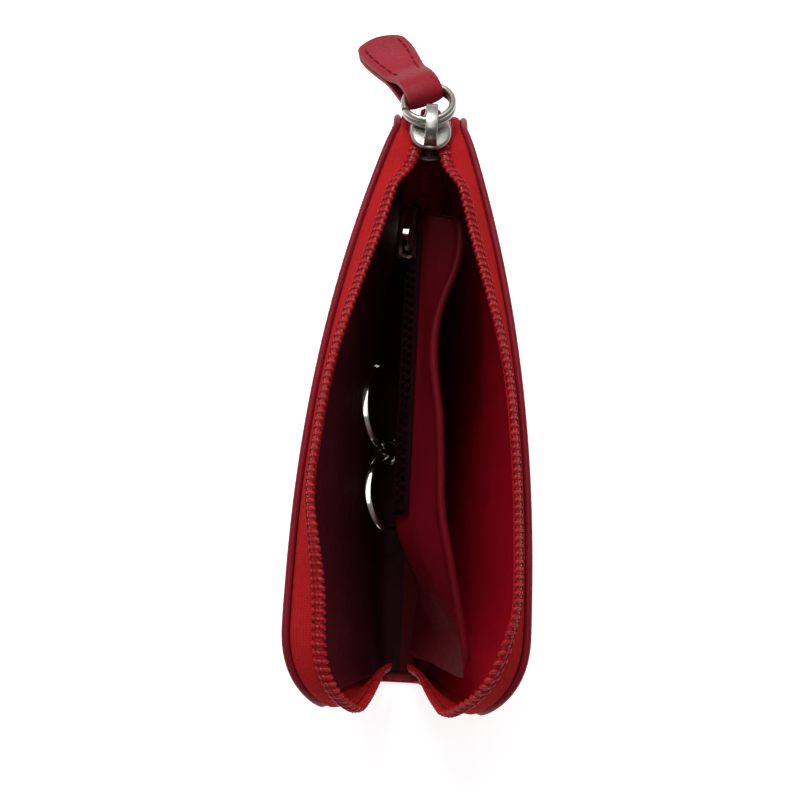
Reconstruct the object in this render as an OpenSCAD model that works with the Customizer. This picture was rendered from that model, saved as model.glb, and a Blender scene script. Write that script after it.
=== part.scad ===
// Zip-around coin purse standing on its folded spine with the mouth open.
// +Z is up, +Y points to the end that stays shut, +X to the side with the pocket.
// The origin is the middle of the flat strip under the spine. Millimetres.

/* [Leather body] */
// Length of the body from end to end
purse_l = 134; // [124:1:144]
// Height of a panel, measured where the zip is shut
panel_h = 78; // [72:1:84]
// Radius of the rounded upper corners
corner_r = 15; // [13:0.5:17]
// Half the body's thickness where the zip is shut
shut_half = 8.3; // [8.2:0.1:8.6]
// Half the width of the mouth at its widest
mouth_half = 24.6; // [22:0.2:26]
// How far along the length the mouth is widest
widest_y = -43; // [-46:1:-38]
// Half the width of the spine in the middle
spine_half = 12; // [11:0.2:12.6]
// Half the width of the spine at the open end
spine_half_near = 6.5; // [6.4:0.1:7]
// How far each panel bows out halfway up
panel_bow = 2.5; // [2.2:0.1:3]
// Thickness of the leather
leather_t = 1.4; // [1.2:0.05:1.4]
// Thickness of the satin lining
lining_t = 0.5; // [0.4:0.05:0.5]

/* [Main zip] */
// Width of a zip tape from the panel's edge to the middle of the zip
tape_reach = 6.2; // [6:0.05:6.3]
// Thickness of a zip tape
tape_t = 0.4; // [0.3:0.05:0.4]
// Thickness of the nylon coil
coil_t = 1.2; // [1:0.05:1.2]
// Angle of the slider round the upper corner, from the top
slider_angle = 12; // [10:1:14]
// Width of the slider
slider_w = 9; // [8.6:0.1:9.2]
// Length of the slider
slider_l = 9.6; // [9.2:0.1:9.8]

/* [Pull] */
// Outer diameter of the split ring
ring_d = 11.8; // [11.6:0.1:12]
// Thickness of one turn of the split ring's wire
ring_wire = 1.3; // [1.2:0.05:1.3]
// Slope of the split ring below the horizontal
ring_slope = 15.5; // [14:0.5:17]
// How far round the split ring the leather pull sits
pull_turn = 26; // [22:1:28]
// Slope of the leather pull below the horizontal
pull_slope = 28; // [26:1:32]
// Length of the leather pull from the ring's wire to its tip
pull_l = 26; // [22:1:28]
// Width of the leather pull's round end
pull_w = 12; // [10:0.2:12]
// Width of the leather pull where it loops round the ring
pull_neck_w = 7.4; // [7:0.1:7.4]

/* [Inside pocket] */
// Height of the pocket's top edge
pocket_h = 70.5; // [70:0.1:71]
// Height of the middle of the pocket's zip
pocket_zip_z = 63.5; // [63.2:0.1:63.6]
// Length of the pocket's zip
pocket_zip_l = 66; // [60:1:68]
// Pitch of the pocket zip's metal teeth
tooth_pitch = 2; // [1.8:0.1:2.2]

/* [Key rings] */
// Outer diameter of the far key ring
key_ring_far_d = 25; // [24:0.5:25]
// Outer diameter of the near key ring
key_ring_near_d = 22; // [21:0.5:22]
// Thickness of a key ring's wire
key_wire = 2; // [1.8:0.1:2]

/* [Hidden] */
$fn = 48;

front = 1;
back = -1;
half_l = purse_l / 2;
straight_l = half_l - corner_r;
side_h = panel_h - corner_r;

// The mouth: shut beyond shut_y, widest at widest_y, drawn in again at the open end
shut_y = 59;
mouth_curve = 2.1;
near_pinch = 0.34;
lean_drop = 2;
spine_mid_y = 12;
flat_share = 0.4;

// The fold line that each panel's loose part turns about runs up the side as a diagonal
fold_near = [-half_l, 7];
fold_far = [55, 70];
fold_gap = 3;
flap_end_y = 50;
body_step_y = 51.5;

clearance = 0.1;
tape_sewn = 4;
tape_first_rise = 34;
tape_upright = 62;
front_tape_turn = [68, 24];
back_tape_turn = [56, 34];
near_tape_tuck = -62;
open_end_v = 12;
shut_end_v = 5.6;
coil_w = 2;
coil_gap = 0.06;
coil_inset = 0.9;

crimson = [0.52, 0.05, 0.09];
maroon = [0.35, 0.02, 0.08];
scarlet = [0.80, 0.12, 0.08];
nickel = [0.78, 0.77, 0.75];

// ---- small helpers ----

function clamp01(t) = max(0, min(1, t));
function ease(t) = let (c = clamp01(t)) c * c * (3 - 2 * c);
function unit(v) = v / norm(v);
function steps(from, to, n) = [for (i = [0:n]) from + (to - from) * i / n];

// A closed solid between two grids of points that have the same number of rows and columns
module grid_solid(outer, inner) {
    rows = len(outer);
    cols = len(outer[0]);
    count = rows * cols;
    points = concat([for (row = outer) for (p = row) p], [for (row = inner) for (p = row) p]);
    function at(i, j) = i * cols + j;
    skins = [for (i = [0:rows - 2]) for (j = [0:cols - 2])
        let (a = at(i, j), b = at(i, j + 1), c = at(i + 1, j + 1), d = at(i + 1, j))
        each [[a, b, c], [a, c, d], [a + count, c + count, b + count], [a + count, d + count, c + count]]];
    ends = [for (j = [0:cols - 2])
        let (a = at(0, j), b = at(0, j + 1), c = at(rows - 1, j), d = at(rows - 1, j + 1))
        each [[b, a, a + count], [b, a + count, b + count], [c, d, d + count], [c, d + count, c + count]]];
    sides = [for (i = [0:rows - 2])
        let (a = at(i, 0), b = at(i + 1, 0), c = at(i, cols - 1), d = at(i + 1, cols - 1))
        each [[a, b, b + count], [a, b + count, a + count], [d, c, c + count], [d, c + count, d + count]]];
    polyhedron(points, concat(skins, ends, sides), convexity = 8);
}

// grid_solid for a sheet on one side of the purse: the far side's grid turns its faces over
module side_solid(side, outer, inner) {
    if (side > 0) grid_solid(outer, inner);
    else grid_solid(inner, outer);
}

// ---- the panels' surface ----

// 0 where the zip is shut, 1 where the mouth is widest
function mouth_share(y) = y > widest_y
    ? 1 - pow(1 - clamp01((shut_y - y) / (shut_y - widest_y)), mouth_curve)
    : 1 - near_pinch * pow((widest_y - y) / (widest_y + half_l), 4.5);

function top_half(y) = shut_half + (mouth_half - shut_half) * mouth_share(y);

function base_half(y) = y > spine_mid_y
    ? spine_half - (spine_half - shut_half) * pow((y - spine_mid_y) / (half_l - spine_mid_y), 2)
    : spine_half - (spine_half - spine_half_near) * pow((spine_mid_y - y) / (spine_mid_y + half_l), 2);

function bend_r(y) = base_half(y) * (1 - flat_share);

function lean(y) = 1 - lean_drop / panel_h * mouth_share(y);

// Half width of the wall at height v on the panel
function wall_half(y, v) =
    let (share = (v - bend_r(y)) / (panel_h - bend_r(y)))
    base_half(y) + (top_half(y) - base_half(y)) * share
        + panel_bow * (1 - pow(y / half_l, 2)) * sin(180 * clamp01(share));

function panel_point(side, y, v, depth) = [side * (wall_half(y, v) - depth), y, v * lean(y)];

// Height on the panel of its outline, drawn in by inset
function outline_v(y, inset = 0) = abs(y) <= straight_l
    ? panel_h - inset
    : side_h + sqrt(max(0, pow(corner_r - inset, 2) - pow(abs(y) - straight_l, 2)));

function fold_v(y) = fold_near[1]
    + (fold_far[1] - fold_near[1]) * (y - fold_near[0]) / (fold_far[0] - fold_near[0]);

// Stations along the length, closer together round a corner
function corner_stations(inset) = [for (a = [90:-15:0]) straight_l + (corner_r - inset) * sin(a)];
function near_stations(inset) = [for (y = corner_stations(inset)) -y];
function far_stations(inset) = [for (a = [0:15:90]) straight_l + (corner_r - inset) * sin(a)];

// The loose part of a side, above the fold line
module flap_sheet(side, inset, depth, thickness, fold_inset) {
    ys = concat(near_stations(inset), steps(-48, flap_end_y - fold_inset, 14));
    function column(y, d) =
        let (low = fold_v(y) + fold_gap / 2 + fold_inset, high = outline_v(y, inset))
        [for (v = steps(low, high, 9)) panel_point(side, y, v, d)];
    side_solid(side, [for (y = ys) column(y, depth)], [for (y = ys) column(y, depth + thickness)]);
}

// Half of a cross-section of the base, from the middle of the spine up one side
function base_half_section(side, y, high, depth) =
    let (b = base_half(y), r = bend_r(y))
    concat(
        [for (a = [15:15:90]) [side * (b - r + (r - depth) * sin(a)), y, (r - (r - depth) * cos(a)) * lean(y)]],
        [for (k = [1:8]) panel_point(side, y, r + (high - r) * k / 8, depth)]);

function base_section(y, high, depth) =
    let (flat = base_half(y) - bend_r(y), left = base_half_section(back, y, high, depth))
    concat([for (i = [len(left) - 1:-1:0]) left[i]], [[-flat, y, depth * lean(y)], [flat, y, depth * lean(y)]],
        base_half_section(front, y, high, depth));

// The spine with the parts of both sides below the fold line, and the shut end
module base_sheet(near_y, inset, depth, thickness, fold_inset) {
    low_ys = concat([near_y], steps(-62, body_step_y - 0.5, 15));
    far_ys = concat([body_step_y + fold_inset], [for (y = far_stations(inset)) if (y > body_step_y + 1) y]);
    function low_high(y) = fold_v(y) - fold_gap / 2 - fold_inset;
    function rows(d) = concat(
        [for (y = low_ys) base_section(y, low_high(y), d)],
        [for (y = far_ys) base_section(y, outline_v(y, inset), d)]);
    grid_solid(rows(depth + thickness), rows(depth));
}

module leather_base() {
    color(crimson) base_sheet(-half_l, 0, 0, leather_t, 0);
}

module lining_base() {
    color(maroon) base_sheet(-half_l + 1, tape_sewn + 0.5, leather_t + clearance, lining_t, 0.3);
}

module leather_panel(side) {
    color(crimson) flap_sheet(side, 0, 0, leather_t, 0);
}

module lining_panel(side) {
    color(maroon) flap_sheet(side, tape_sewn + 0.5, leather_t + clearance, lining_t, 0.3);
}

// ---- the main zip ----

corner_arc = corner_r * PI / 2;

// A place on the panel's outline at distance s from the middle of the top: [y, v, normal y, normal v]
function rim(s) =
    let (e = s < 0 ? -1 : 1, a = abs(s), turn = (a - straight_l) / corner_r * 180 / PI)
    a <= straight_l ? [s, panel_h, 0, 1]
    : a <= straight_l + corner_arc
        ? [e * (straight_l + corner_r * sin(turn)), side_h + corner_r * cos(turn), e * sin(turn), cos(turn)]
        : [e * half_l, side_h - (a - straight_l - corner_arc), e, 0];

function rim_distance(v) = straight_l + corner_arc + side_h - v;

slider_s = straight_l + corner_r * slider_angle * PI / 180;
zip_split_s = slider_s - slider_l / 2;

// How far the tape stands up out of the mouth, in degrees: 0 lies flat across it
function tape_tilt(side, s) =
    let (turn = side == front ? front_tape_turn : back_tape_turn)
    s > -15
        ? tape_first_rise * ease((zip_split_s - 0.5 - s) / 9) + (tape_upright - tape_first_rise) * ease((36 - s) / 42)
        : tape_upright * ease((s + turn[0]) / turn[1]) + near_tape_tuck * ease((-s - 59) / 64);

function tape_edge(side, s) =
    let (q = rim(s), lift = 0.3)
    panel_point(side, q[0] + lift * q[2], q[1] + lift * q[3], leather_t + 2 * clearance + tape_t / 2);

function tape_hem(side, s) =
    let (q = rim(s))
    panel_point(side, q[0] - tape_sewn * q[2], q[1] - tape_sewn * q[3], leather_t + 2 * clearance + tape_t / 2);

function tape_along(side, s) =
    let (q = rim(s), f = tape_tilt(side, s)) [-side * cos(f), q[2] * sin(f), q[3] * sin(f)];

function tape_normal(side, s) =
    let (q = rim(s), f = tape_tilt(side, s)) [side * sin(f), q[2] * cos(f), q[3] * cos(f)];

function tape_row(side, s, face) =
    let (n = tape_normal(side, s), flat = [side, 0, 0], edge = tape_edge(side, s), h = face * tape_t / 2)
    [tape_hem(side, s) + flat * h,
     edge + unit(flat + n) * h,
     each [for (reach = [coil_end - coil_w, coil_end, tape_reach]) edge + tape_along(side, s) * reach + n * h]];

module tape_strip(side, stations) {
    color(scarlet)
        side_solid(side, [for (s = stations) tape_row(side, s, 1)], [for (s = stations) tape_row(side, s, -1)]);
}

// A band on the tape's outer face, from reach_in to reach_out across it
function band_row(side, s, reach_in, reach_out, height) =
    let (n = tape_normal(side, s), a = tape_along(side, s), e = tape_edge(side, s) + n * (tape_t / 2 + height))
    [e + a * reach_in, e + a * reach_out];

module zip_band(side, stations, reach_in, reach_out, thickness) {
    side_solid(side,
        [for (s = stations) band_row(side, s, reach_in, reach_out, coil_gap + thickness)],
        [for (s = stations) band_row(side, s, reach_in, reach_out, coil_gap)]);
}

open_end_s = -rim_distance(open_end_v);
shut_end_s = rim_distance(shut_end_v);
open_stations = concat(
    steps(open_end_s, -straight_l - corner_arc, 8),
    [for (k = [1:7]) -straight_l - corner_arc * (1 - k / 7)],
    steps(-46, zip_split_s - 0.5, 16));
shut_stations = concat(
    [zip_split_s + 0.5, (zip_split_s + slider_s) / 2],
    [for (k = [1:8]) slider_s + (straight_l + corner_arc - slider_s) * k / 8],
    [rim_distance(35), shut_end_s]);
coil_end = tape_reach - coil_inset;

module open_tape(side) {
    tape_strip(side, open_stations);
}

module far_tape(side) {
    tape_strip(side, shut_stations);
}

module open_coil(side) {
    stations = [for (s = open_stations) if (s > open_end_s + 3) s];
    color(scarlet) zip_band(side, stations, coil_end - coil_w, coil_end, coil_t);
}

module far_coil(side) {
    stations = [for (s = shut_stations) min(s, shut_end_s - 4)];
    color(scarlet) zip_band(side, stations, coil_end - coil_w, coil_end, coil_t);
}

// Moulded clip that closes the end of one coil
module start_stop(side) {
    color(scarlet)
        zip_band(side, [open_end_s + 0.4, open_end_s + 2.4], coil_end - coil_w - 0.4, coil_end + 0.3, coil_t + 0.3);
}

// Metal clip that joins the two coils at the shut end
module zip_end_stop() {
    color(nickel)
        translate([-3.6, half_l + 0.6, shut_end_v + 0.6]) cube([7.2, 1.6, 2.6]);
}

// ---- slider, split ring and leather pull ----

coil_mid = 0.3 + tape_t / 2 + coil_gap + coil_t / 2;
slider_r = corner_r + coil_mid;
plate_t = 1.1;
plate_top = 0.8 + plate_t;
plate_low = -2.1 - plate_t;
post_w = 0.6;
post_l = 2.2;
bail_w = 2.6;
bail_t = 1;
bail_gap = 3.8;
bail_l = 8.4;
ring_r = ring_d / 2 - ring_wire / 2;
ring_side_shift = -0.8;
ring_roll = -5;
ring_seat = [ring_side_shift, 0.5, plate_top + bail_gap / 2];
loop_t = 1.2;

// The slider's own frame: x across the zip, y along it towards the shut end, z out of it
module at_slider() {
    translate([0, straight_l, side_h]) rotate([-slider_angle, 0, 0]) translate([0, 0, slider_r]) children();
}

module slider_plate(z) {
    translate([0, 0, z]) linear_extrude(plate_t) union() {
        scale([slider_w, slider_l]) circle(d = 1, $fn = 64);
        translate([-slider_w * 0.33, 0]) square([slider_w * 0.66, slider_l / 2]);
    }
}

module slider_body() {
    color(nickel) at_slider() union() {
        slider_plate(plate_top - plate_t);
        slider_plate(plate_low);
        translate([-post_w / 2, -slider_l / 2 + 0.6, plate_low + 0.2])
            cube([post_w, post_l, plate_top - plate_low - 0.4]);
    }
}

// Arched strap over the slider that holds the split ring
module slider_bail() {
    color(nickel) at_slider() translate([-bail_w / 2, 0, plate_top + 0.02]) rotate([90, 0, 90])
        linear_extrude(bail_w) difference() {
            union() {
                translate([-bail_l / 2, 0]) square([bail_l, bail_gap - 1]);
                translate([-bail_l / 2 + 2, 0]) square([bail_l - 4, bail_gap + bail_t]);
                for (x = [-bail_l / 2 + 2, bail_l / 2 - 2])
                    translate([x, bail_gap + bail_t - 2]) circle(r = 2);
            }
            union() {
                translate([-bail_l / 2 + bail_t, -1]) square([bail_l - 2 * bail_t, bail_gap]);
                translate([-bail_l / 2 + bail_t + 1, -1]) square([bail_l - 2 * bail_t - 2, bail_gap + 1]);
                for (x = [-bail_l / 2 + bail_t + 1, bail_l / 2 - bail_t - 1])
                    translate([x, bail_gap - 1]) circle(r = 1);
            }
        }
}

// The split ring's frame: its wire passes the origin, and the ring's middle is at [0, ring_r, 0]
module at_ring() {
    at_slider() translate(ring_seat) rotate([slider_angle - ring_slope, 0, 0]) rotate([0, ring_roll, 0]) children();
}

// Two turns of wire lying on each other
module pull_ring() {
    color(nickel) at_ring() translate([0, ring_r, 0]) rotate_extrude($fn = 64)
        translate([ring_r, 0]) union() {
            for (z = [-ring_wire / 2, ring_wire / 2]) translate([0, z]) circle(d = ring_wire, $fn = 24);
            translate([-0.3, -ring_wire / 2]) square([0.6, ring_wire]);
        }
}

// The pull's frame: the ring's wire passes the origin, y runs to the pull's tip, z is its upper face
module at_pull() {
    at_ring() translate([0, ring_r, 0]) rotate([0, 0, pull_turn]) translate([0, ring_r, 0])
        rotate([ring_slope - pull_slope, 0, 0]) children();
}

// Outline of the folded strap seen from above: a straight neck that widens to a round end
module pull_outline() {
    waist = pull_l * 0.3;
    union() {
        translate([0, pull_l - pull_w / 2]) circle(d = pull_w, $fn = 64);
        polygon([
            [-pull_neck_w / 2, -5], [pull_neck_w / 2, -5], [pull_neck_w / 2, waist],
            [pull_w / 2, pull_l - pull_w * 0.75], [pull_w / 2, pull_l - pull_w / 2],
            [-pull_w / 2, pull_l - pull_w / 2], [-pull_w / 2, pull_l - pull_w * 0.75], [-pull_neck_w / 2, waist]
        ]);
    }
}

// Side view of the strap: a loop round the wire whose two layers meet beyond it
module pull_profile() {
    hole_r = ring_wire + 0.75;
    deep = 2;
    outer_r = hole_r + loop_t;
    difference() {
        union() {
            circle(r = outer_r);
            translate([-deep, 0]) circle(r = outer_r);
            translate([-deep, -outer_r]) square([deep, 2 * outer_r]);
            polygon([[0, -outer_r], [6, -loop_t - 0.05], [pull_l + 1, -loop_t - 0.05],
                     [pull_l + 1, loop_t + 0.05], [6, loop_t + 0.05], [0, outer_r]]);
        }
        union() {
            circle(r = hole_r);
            translate([-deep, 0]) circle(r = hole_r);
            translate([-deep, -hole_r]) square([deep, 2 * hole_r]);
            polygon([[0, -hole_r], [4.8, 0], [0, hole_r]]);
        }
    }
}

module pull_strap() {
    color(crimson) at_pull() intersection() {
        translate([0, 0, -8]) linear_extrude(16) pull_outline();
        translate([-pull_w, 0, 0]) rotate([90, 0, 90]) linear_extrude(2 * pull_w) pull_profile();
    }
}

// ---- zipped pocket inside ----

pocket_near_y = -60;
pocket_far_y = 54;
pocket_low_z = 8;
pocket_low_in = 5.2;
pocket_sheet_t = 0.5;
pocket_gap = 1.6;
pocket_zip_x = -1.4;
pocket_zip_rise = 5;
pocket_zip_run = 4;
pocket_zip_far_y = 39;
pocket_zip_near_y = pocket_zip_far_y - pocket_zip_l;
zip_lift = 0.5;
zip_strip_t = 0.5;
zip_strip_w = 2.7;
pocket_zip_turn = atan(pocket_zip_run / pocket_zip_rise);

// Sideways place of the pocket's top edge: it bulges to the middle of the purse and nears the wall at both ends
function pocket_top_x(y) =
    6 - 4.2 * exp(-pow((y - 5) / 13, 2)) + 3.6 * ease((y - 8) / 22) - 4.5 * ease((y - 32) / 14)
        + 7 * pow(clamp01((-2 - y) / 58), 1.6);

// The pocket's wall rises to its zip, leans over under the zip, then runs out to the top edge
function pocket_zip_wall_x(y, z) =
    let (low = pocket_zip_z - pocket_zip_rise / 2, high = pocket_zip_z + pocket_zip_rise / 2,
         foot_x = base_half(y) - pocket_low_in, low_x = pocket_zip_x - pocket_zip_run / 2, high_x = pocket_zip_x + pocket_zip_run / 2)
    z < low ? foot_x + (low_x - foot_x) * ease((z - pocket_low_z) / (low - pocket_low_z))
    : z < high ? low_x + pocket_zip_run * (z - low) / pocket_zip_rise
    : high_x + (pocket_top_x(y) - high_x) * (z - high) / max(1, pocket_top_z(y) - high);

// Past the zip's near end the wall straightens into one slope from its foot to the top edge
function pocket_x(y, z) =
    let (plain = ease((pocket_zip_near_y - y) / 25), foot_x = base_half(y) - pocket_low_in,
         slope_x = foot_x + (pocket_top_x(y) - foot_x) * pow(clamp01((z - pocket_low_z) / (pocket_top_z(y) - pocket_low_z)), 1.4))
    (1 - plain) * pocket_zip_wall_x(y, z) + plain * slope_x;

function pocket_top_z(y) = pocket_h - 3 * pow(clamp01((-y - 30) / 30), 2) - 9 * ease((y - 40) / 14);

function pocket_column(y, low, high, depth) =
    [for (z = steps(low, high, 8)) [pocket_x(y, min(z, pocket_top_z(y))) + depth, y, z]];

module pocket_upper(depth) {
    ys = steps(pocket_near_y, 44, 16);
    function column(y, d) = pocket_column(y, fold_v(y) * lean(y) + fold_gap / 2 + 0.5, pocket_top_z(y), d);
    grid_solid([for (y = ys) column(y, depth + pocket_sheet_t)], [for (y = ys) column(y, depth)]);
}

module pocket_lower(depth) {
    ys = concat([-56], steps(-50, 45.5, 14), [47, pocket_far_y]);
    function high(y) = y < 46 ? fold_v(y) * lean(y) - fold_gap / 2 - 0.5 : pocket_top_z(y);
    function column(y, d) = pocket_column(y, pocket_low_z, high(y), d);
    grid_solid([for (y = ys) column(y, depth + pocket_sheet_t)], [for (y = ys) column(y, depth)]);
}

module pocket_inner_upper() { color(scarlet) pocket_upper(0); }
module pocket_outer_upper() { color(scarlet) pocket_upper(pocket_gap); }
module pocket_inner_lower() { color(maroon) pocket_lower(0); }
module pocket_outer_lower() { color(maroon) pocket_lower(pocket_gap); }

// The pocket zip's frame: y along the zip, -x out of it into the main compartment
module at_pocket_zip() {
    translate([pocket_zip_x, 0, pocket_zip_z]) rotate([0, pocket_zip_turn, 0])
        translate([-zip_lift, 0, 0]) children();
}

module pocket_zip_tapes() {
    color(maroon) at_pocket_zip() for (z = [-zip_strip_w - 0.3, 0.3])
        translate([-zip_strip_t, pocket_zip_near_y, z]) cube([zip_strip_t, pocket_zip_l, zip_strip_w]);
}

module pocket_zip_teeth() {
    count = floor((pocket_zip_l - 10) / tooth_pitch);
    color(nickel) at_pocket_zip() for (k = [0:count - 1], upper = [0, 1])
        translate([-zip_strip_t - 1.05, pocket_zip_near_y + 3 + (k + upper / 2) * tooth_pitch, -1.2 + upper * 1.3])
            cube([1, tooth_pitch * 0.42, 1.1]);
}

module pocket_zip_stops() {
    color(nickel) at_pocket_zip() for (y = [pocket_zip_near_y + 0.8, pocket_zip_far_y - 1.6])
        translate([-zip_strip_t - 1.15, y, -1.4]) cube([1.1, 0.8, 2.8]);
}

pocket_slider_y = 34;
pocket_pull_wire = 0.9;
pocket_pull_slot = [3.6, 8];
pocket_pull_yaw = 25;
pocket_pull_rise = 12;

// The pocket slider's frame: -x out of the zip, y along it
module at_pocket_slider() {
    at_pocket_zip() translate([-zip_strip_t - 0.05, pocket_slider_y, 0]) children();
}

module pocket_slider() {
    color(nickel) at_pocket_slider() union() {
        translate([-2.3, -2.8, -2.2]) cube([0.8, 5.6, 4.4]);
        for (y = [-2.6, 1.8]) translate([-4.3, y, -0.6]) cube([2.1, 0.8, 1.2]);
        translate([-4.8, -2.6, -0.6]) cube([0.8, 5.2, 1.2]);
        for (z = [-2.2, 1.6]) translate([-2.3, -2.8, z]) cube([1.1, 5.6, 0.6]);
    }
}

// Open metal loop through the pocket slider's bridge, lying over towards the shut end
module pocket_pull() {
    w = pocket_pull_slot[0] + 2 * pocket_pull_wire;
    l = pocket_pull_slot[1] + 2 * pocket_pull_wire;
    color(nickel) at_pocket_slider() translate([-3.15, 0, 0]) rotate([pocket_pull_yaw, 0, 0])
        rotate([0, 0, pocket_pull_rise]) difference() {
            translate([-pocket_pull_wire / 2, -pocket_pull_wire / 2, -w / 2]) cube([pocket_pull_wire, l, w]);
            translate([-pocket_pull_wire, pocket_pull_wire / 2, -w / 2 + pocket_pull_wire])
                cube([2 * pocket_pull_wire, pocket_pull_slot[1], pocket_pull_slot[0]]);
        }
}

// ---- key rings ----

key_far_centre = [-7.3, 9.15, 14.9];
key_far_tilt = 62;
key_near_centre = [-4.5, -14, 12.6];
key_near_tilt = 52;
key_link_centre = [-5.9, -3.15, 13.6];
key_link_r = 3.2;
key_link_wire = 1.2;
key_link_tilt = 32;
tab_w = 1.9;
tab_t = 0.5;
tab_hole_r = 0.85;
tab_foot_z = 5;

module wire_ring(outer_d, wire) {
    rotate_extrude($fn = 96) translate([outer_d / 2 - wire / 2, 0]) circle(d = wire, $fn = 24);
}

module key_ring_far() {
    color(nickel) translate(key_far_centre) rotate([0, key_far_tilt, 0]) wire_ring(key_ring_far_d, key_wire);
}

module key_ring_near() {
    color(nickel) translate(key_near_centre) rotate([0, key_near_tilt, 0]) wire_ring(key_ring_near_d, key_wire);
}

// Small ring that joins both key rings to the tab
module key_link() {
    color(nickel) translate(key_link_centre) rotate([0, -key_link_tilt, 0])
        wire_ring(2 * key_link_r + key_link_wire, key_link_wire);
}

// Strip of lining cloth sewn to the spine, folded round the low side of the link
module key_tab() {
    low = key_link_centre - key_link_r * [cos(key_link_tilt), 0, sin(key_link_tilt)];
    color(maroon) translate([low[0], low[1] + tab_w / 2, low[2]]) rotate([90, 0, 0]) linear_extrude(tab_w)
        difference() {
            union() {
                circle(r = tab_hole_r + tab_t);
                translate([-tab_t, tab_foot_z - low[2]]) square([2 * tab_t, low[2] - tab_foot_z]);
            }
            circle(r = tab_hole_r);
        }
}

leather_base();
lining_base();
leather_panel(front);  // front_panel
leather_panel(back);  // back_panel
lining_panel(front);  // front_lining
lining_panel(back);  // back_lining
open_tape(front);  // front_tape
open_tape(back);  // back_tape
open_coil(front);  // front_coil
open_coil(back);  // back_coil
far_tape(front);  // front_tape_far
far_tape(back);  // back_tape_far
far_coil(front);  // front_coil_far
far_coil(back);  // back_coil_far
start_stop(front);  // front_start_stop
start_stop(back);  // back_start_stop
zip_end_stop();
slider_body();
slider_bail();
pull_ring();
pull_strap();
pocket_inner_lower();
pocket_outer_lower();
pocket_inner_upper();
pocket_outer_upper();
pocket_zip_tapes();
pocket_zip_teeth();
pocket_zip_stops();
pocket_slider();
pocket_pull();
key_tab();
key_link();
key_ring_far();
key_ring_near();
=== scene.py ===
"""Looks of a zip-around leather coin purse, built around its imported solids.

Lengths are in millimetres until a mesh is made; lights, camera and materials are in metres.
The purse stands on its spine along Y, its open end towards -Y and the zip slider at the far top corner.
"""

import math

import bmesh
import bpy
import numpy as np
from mathutils import Matrix, Vector


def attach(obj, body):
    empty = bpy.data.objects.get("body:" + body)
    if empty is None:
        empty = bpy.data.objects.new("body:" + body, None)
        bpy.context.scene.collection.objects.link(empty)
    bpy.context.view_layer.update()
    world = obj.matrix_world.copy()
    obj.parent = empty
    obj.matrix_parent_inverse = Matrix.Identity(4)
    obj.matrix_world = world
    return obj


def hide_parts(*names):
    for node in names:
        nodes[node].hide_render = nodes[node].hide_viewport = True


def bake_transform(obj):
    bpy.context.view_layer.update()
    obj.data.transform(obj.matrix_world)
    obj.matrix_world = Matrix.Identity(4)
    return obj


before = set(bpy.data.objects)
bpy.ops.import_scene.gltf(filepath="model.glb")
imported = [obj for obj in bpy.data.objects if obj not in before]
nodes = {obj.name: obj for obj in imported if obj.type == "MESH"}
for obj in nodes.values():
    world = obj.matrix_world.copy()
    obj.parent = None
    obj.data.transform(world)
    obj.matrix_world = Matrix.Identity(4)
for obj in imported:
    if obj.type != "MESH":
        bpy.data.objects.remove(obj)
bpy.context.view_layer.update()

MM = 0.001
FRONT, BACK = 1, -1
SIDE_NAME = {FRONT: "front", BACK: "back"}

# ---- sizes shared with the solids ----

# Sides: length, height and corners; y runs along the purse, v is the height on a side's panel.
HALF_L = 67.0
PANEL_H = 78.0
CORNER_R = 15.0
STRAIGHT_L = HALF_L - CORNER_R
SIDE_H = PANEL_H - CORNER_R
# Half widths of the mouth where it is shut and at its widest, and of the spine.
SHUT_HALF = 8.3
MOUTH_HALF = 24.6
WIDEST_Y = -43.0
SHUT_Y = 59.0
MOUTH_CURVE = 2.1
NEAR_PINCH = 0.34
SPINE_HALF = 12.0
SPINE_HALF_NEAR = 6.5
SPINE_MID_Y = 12.0
FLAT_SHARE = 0.4
PANEL_BOW = 2.5
LEAN_DROP = 2.0
LEATHER_T = 1.4
TAPE_T = 0.4
# Zip tape: how it turns up out of the mouth's plane, in degrees, and where (start and length) on each side.
TAPE_FIRST_RISE = 34.0
TAPE_UPRIGHT = 62.0
TAPE_TURN = {FRONT: (68, 24), BACK: (56, 34)}
NEAR_TAPE_TUCK = -62.0
# The open end's lower corners: how far they are drawn in, and from which y over which length.
NEAR_DRAW = 4.0
NEAR_DRAW_FROM = 35
NEAR_DRAW_L = 32
# Distances s along the rim are measured from the middle of the top, towards +Y.
CORNER_ARC = CORNER_R * math.pi / 2
RIM_REACH = STRAIGHT_L + CORNER_ARC + SIDE_H
SLIDER_ANGLE = 12.0
SLIDER_L = 9.6
SLIDER_S = STRAIGHT_L + CORNER_R * math.radians(SLIDER_ANGLE)
ZIP_SPLIT_S = SLIDER_S - SLIDER_L / 2
OPEN_END_S = -(RIM_REACH - 12.0)
SHUT_END_S = RIM_REACH - 5.6
SLIDER_R = CORNER_R + 1.16


def ease(t):
    c = np.clip(t, 0, 1)
    return c * c * (3 - 2 * c)


def unit(a):
    a = np.asarray(a, float)
    return a / np.maximum(np.linalg.norm(a, axis=-1, keepdims=True), 1e-9)


def mouth_share(y):
    y = np.asarray(y, float)
    far = 1 - np.power(1 - np.clip((SHUT_Y - y) / (SHUT_Y - WIDEST_Y), 0, 1), MOUTH_CURVE)
    near = 1 - NEAR_PINCH * np.power(np.clip((WIDEST_Y - y) / (WIDEST_Y + HALF_L), 0, 2), 4.5)
    return np.where(y > WIDEST_Y, far, near)


def top_half(y):
    return SHUT_HALF + (MOUTH_HALF - SHUT_HALF) * mouth_share(y)


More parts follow.
